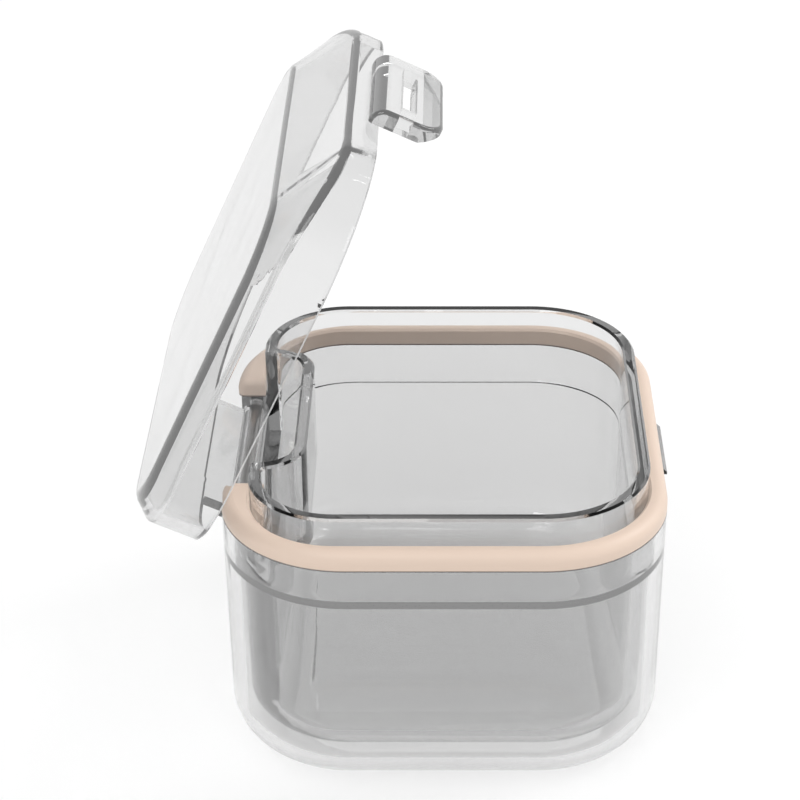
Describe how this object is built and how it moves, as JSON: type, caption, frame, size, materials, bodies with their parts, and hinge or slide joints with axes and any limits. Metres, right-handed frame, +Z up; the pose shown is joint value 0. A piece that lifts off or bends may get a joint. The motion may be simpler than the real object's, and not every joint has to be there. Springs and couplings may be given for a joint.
{
  "type": "retainer cleaning case",
  "caption": "Clear rounded-square retainer cleaning case: a double-walled cup with a peach seal ring and a hinged lid with a window latch over a catch.",
  "frame": {"origin": "centre of the flat base", "axes": "+Z up, +X towards the latch, +Y to the back; the hinge pin is along Y on the -X side"},
  "size_m": [0.1046, 0.096, 0.1321],
  "materials": {
    "clear_plastic": "clear, polished",
    "seal_silicone": "soft satin",
    "pin_steel": "drawn wire"
  },
  "bodies": {
    "case": {"outer_shell": "clear_plastic", "inner_cup": "clear_plastic", "seal_ring": "seal_silicone", "hinge_pin": "pin_steel"},
    "lid": {"lid": "clear_plastic"},
    "latch": {"latch": "clear_plastic"}
  },
  "joints": [
    {"name": "lid_hinge", "type": "hinge", "parent": "case", "child": "lid", "pos_m": [-0.0405, 0, 0.0482], "axis": [0, -1, 0], "range_deg": [-65, 35]},
    {"name": "latch_flex", "type": "hinge", "parent": "lid", "child": "latch", "pos_m": [-0.01406, 0, 0.12999], "axis": [0, -1, 0], "range_deg": [0, 10], "stiffness_Nm_per_rad": 0.1}
  ]
}
